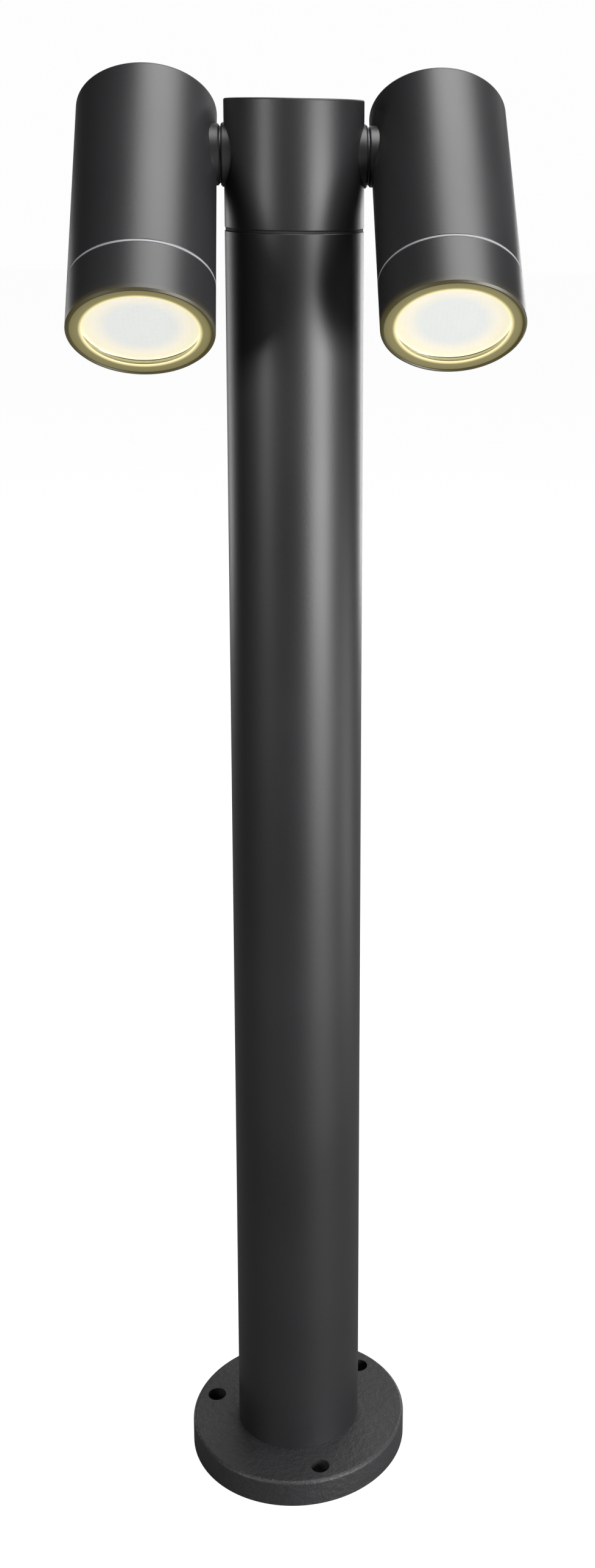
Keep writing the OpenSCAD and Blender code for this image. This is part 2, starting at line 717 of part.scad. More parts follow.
// Reflector lamp: a base between the pins, a flaring ribbed body and a rim around the lens
module lamp_body(side) {
  flare_z = lamp_back_z + 9;
  rim_z = lamp_front_z - lamp_rim_h;
  fin_h = rim_z - flare_z;
  color([0.92, 0.92, 0.92]) head_frame(side) difference() {
    union() {
      rotate_extrude() polygon([
        [0, lamp_back_z], [lamp_neck_r, lamp_back_z], [lamp_neck_r, flare_z],
        [lamp_neck_r + 3, flare_z + 4], [lamp_r - 4, rim_z - 3], [lamp_r - 2, rim_z], [lamp_r, rim_z],
        [lamp_r, lamp_front_z - 0.6], [lamp_r - 0.6, lamp_front_z], [0, lamp_front_z]]);
      for (i = [0:11]) rotate(30 * i) translate([0, 0.5, flare_z]) rotate([90, 0, 0]) linear_extrude(1)
        polygon([[lamp_neck_r - 1, 0], [lamp_neck_r + 2.2, 1], [lamp_r - 0.6, fin_h - 4],
          [lamp_r - 0.6, fin_h + 1], [lamp_neck_r - 1, fin_h + 1]]);
    }
    translate([0, 0, lamp_front_z - lens_h - touch]) cylinder(r = lens_r + touch, h = lens_h + cut);
    for (s = [-1, 1]) translate([s * pin_pitch / 2, 0, lamp_back_z - cut])
      cylinder(r = pin_r + thread_gap, h = 3 + cut);
  }
}

module lamp_lens(side) {
  color([0.95, 0.94, 0.9]) head_frame(side) translate([0, 0, lamp_front_z - lens_h])
    cylinder(r = lens_r, h = lens_h - touch);
}

module lamp_pins(side) {
  color([0.78, 0.6, 0.28]) head_frame(side) for (s = [-1, 1])
    translate([s * pin_pitch / 2, 0, lamp_back_z - pin_l]) {
    cylinder(r = pin_head_r, h = 2);
    cylinder(r = pin_r, h = pin_l + 2.8);
  }
}

// The lead from the middle of the swivel bore to the back of the ceramic holder
module head_lead(side) {
  a = [lead_split - head_x, 0, 0];
  b = [-head_pad + nut_h + 2.5, 0, 0];
  c = [0, 0, holder_back_z - touch];
  bend = curve(b, b + [9, 0, 0], c + [0, 0, lead_pull * b[0]], c, 22);
  color([0.85, 0.84, 0.8]) head_frame(side) tube_along(concat([a], bend), lead_r, 10);
}

// ---------------------------------------------------------------- nodes

base_flange();
base_sleeve();
sleeve_screws();
cable_grommet();
post_tube();
set_screws(base_set_z);  // base_set_screws
seam_gasket();
top_collar();
set_screws(collar_set_z);  // collar_set_screws
terminal_bracket();
bracket_screws();
terminal_block();
terminal_clamps();
earth_screw();
live_wires();
neutral_wires();
earth_wires();
collar_lead(LEFT);  // left_collar_lead
boss_seal(LEFT);  // left_boss_seal
friction_washer(LEFT);  // left_friction_washer
wave_washer(LEFT);  // left_wave_washer
collar_lead(RIGHT);  // right_collar_lead
boss_seal(RIGHT);  // right_boss_seal
friction_washer(RIGHT);  // right_friction_washer
wave_washer(RIGHT);  // right_wave_washer
head_housing(LEFT);  // left_head_housing
swivel_stud(LEFT);  // left_swivel_stud
swivel_nuts(LEFT);  // left_swivel_nuts
stop_washer(LEFT);  // left_stop_washer
ring_seal(LEFT);  // left_ring_seal
lamp_holder(LEFT);  // left_lamp_holder
holder_bracket(LEFT);  // left_holder_bracket
holder_screws(LEFT);  // left_holder_screws
foot_screws(LEFT);  // left_foot_screws
lamp_body(LEFT);  // left_lamp_body
lamp_lens(LEFT);  // left_lamp_lens
lamp_pins(LEFT);  // left_lamp_pins
head_lead(LEFT);  // left_head_lead
front_glass(LEFT);  // left_front_glass
glass_gasket(LEFT);  // left_glass_gasket
front_ring(LEFT);  // left_front_ring
head_housing(RIGHT);  // right_head_housing
swivel_stud(RIGHT);  // right_swivel_stud
swivel_nuts(RIGHT);  // right_swivel_nuts
stop_washer(RIGHT);  // right_stop_washer
ring_seal(RIGHT);  // right_ring_seal
lamp_holder(RIGHT);  // right_lamp_holder
holder_bracket(RIGHT);  // right_holder_bracket
holder_screws(RIGHT);  // right_holder_screws
foot_screws(RIGHT);  // right_foot_screws
lamp_body(RIGHT);  // right_lamp_body
lamp_lens(RIGHT);  // right_lamp_lens
lamp_pins(RIGHT);  // right_lamp_pins
head_lead(RIGHT);  // right_head_lead
front_glass(RIGHT);  // right_front_glass
glass_gasket(RIGHT);  // right_glass_gasket
front_ring(RIGHT);  // right_front_ring
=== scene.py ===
"""Twin-spot garden post light: looks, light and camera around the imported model.

Every length is in metres, in the model's own frame: +Z runs up the post, the heads shine towards -Y and the
swivel axis runs along X. Each class below is one sub-assembly of the light.
"""
import json
import logging
import math
from collections.abc import Sequence
from dataclasses import dataclass, field
from enum import Enum

import bmesh
import bpy
import numpy as np
from mathutils import Matrix, Vector


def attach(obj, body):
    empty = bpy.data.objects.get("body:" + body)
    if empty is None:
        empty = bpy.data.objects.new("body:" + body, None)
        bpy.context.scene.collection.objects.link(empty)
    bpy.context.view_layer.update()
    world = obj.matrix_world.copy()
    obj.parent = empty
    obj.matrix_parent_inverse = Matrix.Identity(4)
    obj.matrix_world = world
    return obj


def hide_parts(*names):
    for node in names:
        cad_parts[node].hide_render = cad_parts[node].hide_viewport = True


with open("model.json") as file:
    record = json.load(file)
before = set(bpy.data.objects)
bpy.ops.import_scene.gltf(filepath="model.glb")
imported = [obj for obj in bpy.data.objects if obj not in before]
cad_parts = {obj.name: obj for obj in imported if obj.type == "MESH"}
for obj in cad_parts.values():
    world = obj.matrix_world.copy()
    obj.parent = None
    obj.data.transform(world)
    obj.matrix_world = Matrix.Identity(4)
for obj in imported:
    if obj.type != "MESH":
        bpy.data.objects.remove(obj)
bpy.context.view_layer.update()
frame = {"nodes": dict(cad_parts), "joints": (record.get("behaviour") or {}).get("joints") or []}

logging.basicConfig(level=logging.INFO, format="%(name)s: %(message)s")
LOG = logging.getLogger("post_light")
RIGHTWARD = np.array([1.0, 0.0, 0.0])
Colour = tuple[float, float, float]
BARE_ALUMINIUM: Colour = (0.60, 0.61, 0.63)
# The noise behind a coat's tone seldom leaves this range.
TONE_LOW, TONE_HIGH = 0.3, 0.7


class Side(Enum):
    """Which side of the post a head is on, seen from the front."""

    LEFT = "left"
    RIGHT = "right"

    @property
    def sign(self) -> float:
        """-1 on the left and +1 on the right."""
        return -1.0 if self is Side.LEFT else 1.0

    def node(self, part: str) -> str:
        """The CAD node of that part on this side."""
        return f"{self.value}_{part}"


# ---------------------------------------------------------------- surfaces


@dataclass(frozen=True)
class Axis:
    """A straight axis with two directions across it.

    Attributes:
        origin: A point on the axis.
        along: Unit direction of the axis.
        across: Unit direction across the axis, from which angles are counted.
    """

    origin: np.ndarray
    along: np.ndarray
    across: np.ndarray = field(default_factory=lambda: RIGHTWARD)

    @property
    def third(self) -> np.ndarray:
        """The direction that completes a right-handed set."""
        return np.cross(self.along, self.across)

    def place(self, radius: np.ndarray, angle: np.ndarray, height: np.ndarray) -> np.ndarray:
        """Points at origin + radius (cos angle, sin angle) across the axis + height along it.

        Args:
            radius: Distances from the axis.
            angle: Angles round the axis, in radians.
            height: Distances along the axis.

        Returns:
            An array of points whose last dimension is 3.
        """
        radius, angle, height = np.broadcast_arrays(radius, angle, height)
        return (self.origin + (radius * np.cos(angle))[..., None] * self.across
                + (radius * np.sin(angle))[..., None] * self.third + height[..., None] * self.along)


def span(node: str, axis: Axis) -> tuple[float, float]:
    """Lowest and highest height of a CAD node along an axis.

    Args:
        node: The CAD node's name.
        axis: The axis to measure along.

    Returns:
        Heights from the axis's origin.
    """
    mesh = frame["nodes"][node].data
    flat = np.empty(len(mesh.vertices) * 3)
    mesh.vertices.foreach_get("co", flat)
    heights = (flat.reshape(-1, 3) - axis.origin) @ axis.along
    return float(heights.min()), float(heights.max())


def grid_faces(rows: int, columns: int, loop_rows: bool, loop_columns: bool) -> np.ndarray:
    """Quads of a grid of points, row by row: each joins (i, j), (i, j+1), (i+1, j+1) and (i+1, j).

    Args:
        rows: Number of rows of points.
        columns: Number of points in a row.
        loop_rows: Whether the last row meets the first.
        loop_columns: Whether each row's end meets its start.

    Returns:
        An array of quads, four indices each.
    """
    i, j = np.meshgrid(np.arange(rows if loop_rows else rows - 1),
                       np.arange(columns if loop_columns else columns - 1), indexing="ij")
    i_next, j_next = (i + 1) % rows, (j + 1) % columns
    return np.stack([i * columns + j, i * columns + j_next, i_next * columns + j_next, i_next * columns + j],
                    axis=-1).reshape(-1, 4)


def make_piece(name: str, points: np.ndarray, faces: np.ndarray, sharp_deg: float = 35.0) -> bpy.types.Object:
    """A smooth-shaded mesh object whose doubles are merged and whose faces point outwards.

    Args:
        name: Name of the piece.
        points: Its points, in the model's frame.
        faces: Its faces, as rows of indices.
        sharp_deg: Edges that turn by more than this stay sharp.

    Returns:
        The new object, linked to the scene.
    """
    mesh = bpy.data.meshes.new(name)
    mesh.from_pydata(points.reshape(-1, 3).tolist(), [], faces.tolist())
    work = bmesh.new()
    work.from_mesh(mesh)
    bmesh.ops.remove_doubles(work, verts=work.verts, dist=1e-7)
    bmesh.ops.recalc_face_normals(work, faces=work.faces)
    work.to_mesh(mesh)
    work.free()
    mesh.shade_smooth()
    mesh.set_sharp_from_angle(angle=math.radians(sharp_deg))
    piece = bpy.data.objects.new(name, mesh)
    bpy.context.scene.collection.objects.link(piece)
    return piece


def curve(a: np.ndarray, b: np.ndarray, c: np.ndarray, d: np.ndarray, steps: int = 64) -> np.ndarray:
    """Points of a cubic curve: (1-t)^3 a + 3 (1-t)^2 t b + 3 (1-t) t^2 c + t^3 d, with t from 0 to 1.

    Args:
        a: Where it starts.
        b: What its start is pulled towards.
        c: What its end is pulled towards.
        d: Where it ends.
        steps: Number of points.

    Returns:
        The points, one row each.
    """
    t = np.linspace(0.0, 1.0, steps)[:, None]
    return (1 - t) ** 3 * a + 3 * (1 - t) ** 2 * t * b + 3 * (1 - t) * t ** 2 * c + t ** 3 * d


def swept(name: str, path: np.ndarray, radius: float, reference: np.ndarray,
          around: int = 20) -> bpy.types.Object:
    """A round, closed length of lead: path + radius (cos angle, sin angle) across the path's own direction.

    Args:
        name: Name of the piece.
        path: Points that it follows, one row each.
        radius: Its radius.
        reference: A direction that the path never takes, from which angles are counted.
        around: Number of points round it.

    Returns:
        The new piece.
    """
    heading = np.gradient(path, axis=0)
    heading /= np.linalg.norm(heading, axis=1, keepdims=True)
    side = reference - (heading @ reference)[:, None] * heading
    side /= np.linalg.norm(side, axis=1, keepdims=True)
    other = np.cross(heading, side)
    rows = np.r_[0, np.arange(len(path)), len(path) - 1]
    reach = np.r_[0.0, np.full(len(path), radius), 0.0][:, None, None]
    angle = np.linspace(0, 2 * math.pi, around, endpoint=False)[None, :, None]
    spoke = np.cos(angle) * side[rows][:, None] + np.sin(angle) * other[rows][:, None]
    points = path[rows][:, None] + reach * spoke
    return make_piece(name, points, grid_faces(len(rows), around, False, True), sharp_deg=60.0)


def fit_piece(piece: bpy.types.Object, material: bpy.types.Material, body: str, node: str) -> None:
    """Dresses a new piece, and lets it ride on a body and stand for a CAD node.

    Args:
        piece: The new piece.
        material: Its finish.
        body: The body it rides on.
        node: The CAD node it stands for.
    """
    piece.data.materials.append(material)
    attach(piece, body)
    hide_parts(node)
    LOG.info("made %s for %s", piece.name, node)


# ---------------------------------------------------------------- finishes


class Nodes:
    """A short way to add shader nodes to a tree and join them.

    Args:
        tree: The node tree to work on.
    """

    def __init__(self, tree: bpy.types.NodeTree) -> None:
        self.tree = tree

    def add(self, kind: str, inputs: dict | None = None, **settings: object) -> bpy.types.Node:
        """Adds a node.

        Args:
            kind: Blender's name of the node's type.
            inputs: Value or output socket for each input that it sets.
            **settings: Attributes of the node.

        Returns:
            The new node.
        """
        node = self.tree.nodes.new(kind)
        for key, value in settings.items():
            setattr(node, key, value)
        for key, value in (inputs or {}).items():
            if isinstance(value, bpy.types.NodeSocket):
                self.tree.links.new(value, node.inputs[key])
            else:
                node.inputs[key].default_value = value
        return node

    def math(self, operation: str, a: object, b: object = 0.0) -> bpy.types.NodeSocket:
        """Output of a Math node on two values or sockets."""
        return self.add("ShaderNodeMath", {0: a, 1: b}, operation=operation).outputs[0]

    def vector(self, operation: str, *vectors: object) -> bpy.types.Node:
        """A Vector Math node on vectors or sockets."""
        return self.add("ShaderNodeVectorMath", dict(enumerate(vectors)), operation=operation)

    def mix(self, factor: bpy.types.NodeSocket, first: object, second: object) -> bpy.types.NodeSocket:
        """A colour between two colours or sockets, by a factor."""
        return self.add("ShaderNodeMix", {0: factor, 6: first, 7: second}, data_type="RGBA").outputs[2]

    def ramp(self, factor: bpy.types.NodeSocket,
             stops: Sequence[tuple[float, Colour]]) -> bpy.types.NodeSocket:
        """Colour of a ramp with these stops at a factor."""
        node = self.add("ShaderNodeValToRGB", {"Fac": factor})
        elements = node.color_ramp.elements
        while len(elements) < len(stops):
            elements.new(1.0)
        for element, (place, colour) in zip(elements, stops):
            element.position = place
            element.color = (*colour, 1.0)
        return node.outputs["Color"]

    def group(self, tree: bpy.types.NodeTree, place: bpy.types.NodeSocket,
              **values: object) -> bpy.types.Node:
        """A shared group's node at a place, with values for its other inputs."""
        node = self.add("ShaderNodeGroup", {"Vector": place}, node_tree=tree)
        for label, value in values.items():
            node.inputs[label].default_value = value
        return node


def new_group(name: str, inputs: dict[str, tuple[str, object]],
              outputs: dict[str, str]) -> tuple[Nodes, bpy.types.Node, bpy.types.Node]:
    """An empty shader node group with named sockets.

    Args:
        name: Name of the group.
        inputs: Kind and default of each input socket.
        outputs: Kind of each output socket.

    Returns:
        Its nodes, its input node and its output node.
    """
    tree = bpy.data.node_groups.new(name, "ShaderNodeTree")
    for label, (kind, default) in inputs.items():
        tree.interface.new_socket(name=label, in_out="INPUT", socket_type=kind).default_value = default
    for label, kind in outputs.items():
        tree.interface.new_socket(name=label, in_out="OUTPUT", socket_type=kind)
    nodes = Nodes(tree)
    return nodes, nodes.add("NodeGroupInput"), nodes.add("NodeGroupOutput")


def coat_group() -> bpy.types.NodeTree:
    """Powder coat: flowed-out grains for the height, and a slow change of tone over the surface."""
    nodes, start, end = new_group(
        "powder_grain",
        {"Vector": ("NodeSocketVector", (0, 0, 0)), "Grain": ("NodeSocketFloat", 900.0),
         "Drift": ("NodeSocketFloat", 9.0)},
        {"Height": "NodeSocketFloat", "Tone": "NodeSocketFloat"})
    place, grain, drift = (start.outputs[label] for label in ("Vector", "Grain", "Drift"))
    fine_ratio, fine_height, slow_share, fine_share = 3.1, 0.35, 0.7, 0.3
    coarse = nodes.add("ShaderNodeTexNoise", {"Vector": place, "Scale": grain, "Detail": 2.0,
                                              "Roughness": 0.55})
    fine_scale = nodes.math("MULTIPLY", grain, fine_ratio)
    fine = nodes.add("ShaderNodeTexNoise", {"Vector": place, "Scale": fine_scale, "Detail": 1.0})
    slow = nodes.add("ShaderNodeTexNoise", {"Vector": place, "Scale": drift, "Detail": 2.0})
    height = nodes.math("ADD", coarse.outputs["Fac"],
                        nodes.math("MULTIPLY", fine.outputs["Fac"], fine_height))
    tone = nodes.math("ADD", nodes.math("MULTIPLY", slow.outputs["Fac"], slow_share),
                      nodes.math("MULTIPLY", fine.outputs["Fac"], fine_share))
    nodes.tree.links.new(height, end.inputs["Height"])
    nodes.tree.links.new(tone, end.inputs["Tone"])
    return nodes.tree


def axis_group() -> bpy.types.NodeTree:
    """Where a point lies about an axis: its distance from the axis and its height along it."""
    nodes, start, end = new_group(
        "about_axis",
        {"Vector": ("NodeSocketVector", (0, 0, 0)), "Origin": ("NodeSocketVector", (0, 0, 0)),
         "Along": ("NodeSocketVector", (0, 0, 1))},
        {"Radius": "NodeSocketFloat", "Height": "NodeSocketFloat"})
    place, origin, along = (start.outputs[label] for label in ("Vector", "Origin", "Along"))
    arm = nodes.vector("SUBTRACT", place, origin).outputs["Vector"]
    sideways = nodes.vector("CROSS_PRODUCT", arm, along).outputs["Vector"]
    radius = nodes.vector("LENGTH", sideways).outputs["Value"]
    height = nodes.vector("DOT_PRODUCT", arm, along).outputs["Value"]
    nodes.tree.links.new(radius, end.inputs["Radius"])
    nodes.tree.links.new(height, end.inputs["Height"])
    return nodes.tree


def thread_group() -> bpy.types.NodeTree:
    """A turned thread: a triangle wave of height / pitch + angle / full turn.

    It shows only inside a radius and between two heights.
    """
    nodes, start, end = new_group(
        "turned_thread",
        {"Vector": ("NodeSocketVector", (0, 0, 0)), "Origin": ("NodeSocketVector", (0, 0, 0)),
         "Along": ("NodeSocketVector", (0, 0, 1)), "Across": ("NodeSocketVector", (1, 0, 0)),
         "Third": ("NodeSocketVector", (0, 1, 0)), "Pitch": ("NodeSocketFloat", 0.0015),
         "Radius": ("NodeSocketFloat", 0.0289), "Low": ("NodeSocketFloat", 0.0),
         "High": ("NodeSocketFloat", 1.0)},
        {"Height": "NodeSocketFloat", "Mask": "NodeSocketFloat"})
    arm = nodes.vector("SUBTRACT", start.outputs["Vector"], start.outputs["Origin"]).outputs["Vector"]
    height, east, north = (nodes.vector("DOT_PRODUCT", arm, start.outputs[way]).outputs["Value"]
                           for way in ("Along", "Across", "Third"))
    radius = nodes.math("SQRT", nodes.math("ADD", nodes.math("MULTIPLY", east, east),
                                           nodes.math("MULTIPLY", north, north)))
    turn = nodes.math("DIVIDE", nodes.math("ARCTAN2", north, east), 2 * math.pi)
    phase = nodes.math("ADD", nodes.math("DIVIDE", height, start.outputs["Pitch"]), turn)
    wave = nodes.math("MULTIPLY", nodes.math("PINGPONG", phase, 0.5), 2.0)
    inside = nodes.math("LESS_THAN", radius, start.outputs["Radius"])
    above = nodes.math("GREATER_THAN", height, start.outputs["Low"])
    below = nodes.math("LESS_THAN", height, start.outputs["High"])
    mask = nodes.math("MULTIPLY", inside, nodes.math("MULTIPLY", above, below))
    nodes.tree.links.new(nodes.math("MULTIPLY", wave, mask), end.inputs["Height"])
    nodes.tree.links.new(mask, end.inputs["Mask"])
    return nodes.tree


class Groups:
    """The shared shader node groups, built once."""

    coat: bpy.types.NodeTree
    about_axis: bpy.types.NodeTree
    thread: bpy.types.NodeTree

    @classmethod
    def build(cls) -> None:
        """Builds every group."""
        cls.coat = coat_group()
        cls.about_axis = axis_group()
        cls.thread = thread_group()


def start_material(name: str, **uniform: object) -> tuple[
        bpy.types.Material, Nodes, bpy.types.Node, bpy.types.NodeSocket]:
    """A material with one Principled shader.

    Args:
        name: Name of the material.
        **uniform: Values of the shader's own sockets, with _ for a space.

    Returns:
        The material, its nodes, the shader and the object coordinates.
    """
    material = bpy.data.materials.new(name)
    material.use_nodes = True
    material.node_tree.nodes.clear()
    nodes = Nodes(material.node_tree)
    values = {key.replace("_", " "): value for key, value in uniform.items()}
    shader = nodes.add("ShaderNodeBsdfPrincipled", values)
    nodes.add("ShaderNodeOutputMaterial", {"Surface": shader.outputs["BSDF"]})
    coordinates = nodes.add("ShaderNodeTexCoord").outputs["Object"]
    return material, nodes, shader, coordinates


def tone_between(nodes: Nodes, tone: bpy.types.NodeSocket, low: float, high: float) -> bpy.types.NodeSocket:
    """A value that goes from low to high as the coat's tone goes over its usual range."""
    spread = nodes.add("ShaderNodeMapRange", {"Value": tone, "From Min": TONE_LOW, "From Max": TONE_HIGH,
                                              "To Min": low, "To Max": high})
    return spread.outputs["Result"]


def bump(nodes: Nodes, height: bpy.types.NodeSocket, distance: float, **more: object) -> bpy.types.NodeSocket:
    """The normal of a surface with this height; more sets the node's other inputs."""
    node = nodes.add("ShaderNodeBump", {"Height": height, "Distance": distance, "Strength": 1.0, **more})
    return node.outputs["Normal"]


@dataclass(frozen=True)
class Thread:
    """A bare turned thread about an axis.

    Attributes:
        axis: The thread's axis.
        radius: The thread lies inside this radius.
        low: Height where it starts.
        high: Height where it ends.
        pitch: Its pitch.
        depth: Its depth.
        metal: Colour of the bare metal.
        roughness: Roughness of the bare metal.
    """

    axis: Axis
    radius: float
    low: float
    high: float
    pitch: float = 0.0015
    depth: float = 0.0006
    metal: Colour = BARE_ALUMINIUM
    roughness: float = 0.28

    def add_to(self, nodes: Nodes, place: bpy.types.NodeSocket) -> bpy.types.Node:
        """Adds the shared thread group with this thread's values, and returns its node."""
        axis = self.axis
        return nodes.group(Groups.thread, place, Origin=tuple(axis.origin), Along=tuple(axis.along),
                           Across=tuple(axis.across), Third=tuple(axis.third), Pitch=self.pitch,
                           Radius=self.radius, Low=self.low, High=self.high)


@dataclass(frozen=True)
class PowderCoat:
    """A satin powder coat on aluminium.

    Attributes:
        name: Name of the material.
        dark: Colour where the coat is deepest.
        light: Colour where it is palest.
        grain: Grains in a metre.
        relief: Height of the grains in metres.
        roughness: Lowest and highest roughness.
        thread: A bare turned thread that interrupts the coat.
        painted_glow_axis: Axis of a head whose front rim has the lamp's light painted on it, as a warm
            emitted glow.
        painted_glow_heights: Where that painted glow starts along the axis, and where it is full.
        painted_glow_colours: That painted glow half-way and at the rim.
    """

    name: str
    dark: Colour = (0.009, 0.009, 0.0098)
    light: Colour = (0.015, 0.015, 0.0162)
    grain: float = 700.0
    relief: float = 0.00002
    roughness: tuple[float, float] = (0.38, 0.46)
    thread: Thread | None = None
    painted_glow_axis: Axis | None = None
    painted_glow_heights: tuple[float, float] = (0.0865, 0.0932)
    painted_glow_colours: tuple[Colour, Colour] = ((0.004, 0.0028, 0.0004), (0.055, 0.044, 0.006))

    def build(self) -> bpy.types.Material:
        """Builds the material."""
        material, nodes, shader, place = start_material(
            self.name, Specular_IOR_Level=0.5, Emission_Strength=1.0 if self.painted_glow_axis else 0.0)
        coat = nodes.group(Groups.coat, place, Grain=self.grain)
        tone = coat.outputs["Tone"]
        colour = nodes.ramp(tone, [(TONE_LOW, self.dark), (TONE_HIGH, self.light)])
        roughness = tone_between(nodes, tone, *self.roughness)
        normal = bump(nodes, coat.outputs["Height"], self.relief)
        if self.thread:
            cut = self.thread.add_to(nodes, place)
            colour = nodes.mix(cut.outputs["Mask"], colour, (*self.thread.metal, 1.0))
            roughness = nodes.add("ShaderNodeMapRange", {"Value": cut.outputs["Mask"], "To Min": roughness,
                                                         "To Max": self.thread.roughness}).outputs["Result"]
            nodes.tree.links.new(cut.outputs["Mask"], shader.inputs["Metallic"])
            normal = bump(nodes, cut.outputs["Height"], self.thread.depth, Normal=normal)
        # Painted light: a warm emitted glow on the head's front rim stands for the lamp's light spilling onto
        # it.
        if self.painted_glow_axis:
            near = nodes.group(Groups.about_axis, place, Origin=tuple(self.painted_glow_axis.origin),
                               Along=tuple(self.painted_glow_axis.along))
            fade = nodes.add("ShaderNodeMapRange", {"Value": near.outputs["Height"],
                                                    "From Min": self.painted_glow_heights[0],
                                                    "From Max": self.painted_glow_heights[1]})
            glow = nodes.ramp(fade.outputs["Result"], [(0.0, (0, 0, 0)), (0.5, self.painted_glow_colours[0]),
                                                       (1.0, self.painted_glow_colours[1])])
            nodes.tree.links.new(glow, shader.inputs["Emission Color"])
        nodes.tree.links.new(colour, shader.inputs["Base Color"])
        nodes.tree.links.new(roughness, shader.inputs["Roughness"])
        nodes.tree.links.new(normal, shader.inputs["Normal"])
        return material


@dataclass(frozen=True)
class PlainFinish:
    """A moulded, cast or drawn finish with a fine grain and a slow change of tone.

    Attributes:
        name: Name of the material.
        colour: Its colour.
        vary: Share by which the colour changes over the surface.
        roughness: Lowest and highest roughness.
        metallic: 1 on a bare metal and 0 elsewhere.
        grain: Grains in a metre.
        relief: Height of the grains in metres.
        drift: Scale of the slow change of tone, in patches a metre.
    """

    name: str
    colour: Colour
    vary: float = 0.12
    roughness: tuple[float, float] = (0.4, 0.5)
    metallic: float = 0.0
    grain: float = 1500.0
    relief: float = 0.00001
    drift: float = 60.0

    def build(self) -> bpy.types.Material:
        """Builds the material."""
        material, nodes, shader, place = start_material(self.name, Metallic=self.metallic)
        coat = nodes.group(Groups.coat, place, Grain=self.grain, Drift=self.drift)
        tone = coat.outputs["Tone"]
        low, high = (tuple(min(1.0, c * f) for c in self.colour) for f in (1 - self.vary, 1 + self.vary))
        colour = nodes.ramp(tone, [(TONE_LOW, low), (TONE_HIGH, high)])
        nodes.tree.links.new(colour, shader.inputs["Base Color"])
        nodes.tree.links.new(tone_between(nodes, tone, *self.roughness), shader.inputs["Roughness"])
        nodes.tree.links.new(bump(nodes, coat.outputs["Height"], self.relief), shader.inputs["Normal"])
        return material


@dataclass(frozen=True)
class Glow:
    """A lit surface whose colour changes with the distance from a head's axis.

    Attributes:
        name: Name of the material.
        axis: The head's axis.
        stops: Radius in metres and emitted colour, from the middle outwards.
        colour: Colour of the unlit surface.
        strength: Strength of the emission.
        low: Height below which nothing glows.
    """

    name: str
    axis: Axis
    stops: Sequence[tuple[float, Colour]]
    colour: Colour
    strength: float = 1.0
    low: float | None = None

    def build(self) -> bpy.types.Material:
        """Builds the material."""
        material, nodes, shader, place = start_material(
            self.name, Base_Color=(*self.colour, 1.0), Roughness=0.35, Emission_Strength=self.strength)
        about = nodes.group(Groups.about_axis, place, Origin=tuple(self.axis.origin),
                            Along=tuple(self.axis.along))
        outer = self.stops[-1][0]
        factor = nodes.math("DIVIDE", about.outputs["Radius"], outer)
        ramp = nodes.ramp(factor, [(radius / outer, colour) for radius, colour in self.stops])
        if self.low is not None:
            lit = nodes.math("GREATER_THAN", about.outputs["Height"], self.low)
            ramp = nodes.mix(lit, (0, 0, 0, 1), ramp)
        nodes.tree.links.new(ramp, shader.inputs["Emission Color"])
        return material


@dataclass(frozen=True)
class ClearGlass:
    """Toughened clear glass with a faint flow in its surface.

    Attributes:
        name: Name of the material.
        flow: Scale of the flow, in waves a metre.
        relief: Height of the flow in metres.
    """

    name: str = "clear_glass"
    flow: float = 120.0
    relief: float = 0.00001

    def build(self) -> bpy.types.Material:
        """Builds the material."""
        material, nodes, shader, place = start_material(
            self.name, Base_Color=(0.97, 0.98, 0.97, 1.0), Roughness=0.03, IOR=1.5, Transmission_Weight=1.0)
        flow = nodes.add("ShaderNodeTexNoise", {"Vector": place, "Scale": self.flow, "Detail": 1.0})
        normal = bump(nodes, flow.outputs["Fac"], self.relief, Strength=0.5)
        nodes.tree.links.new(normal, shader.inputs["Normal"])
        return material


def dress(node: str, material: bpy.types.Material) -> None:
    """Gives a CAD node a material."""
    mesh = frame["nodes"][node].data
    mesh.materials.clear()
    mesh.materials.append(material)
    LOG.info("dressed %s", node)


# ---------------------------------------------------------------- sub-assemblies


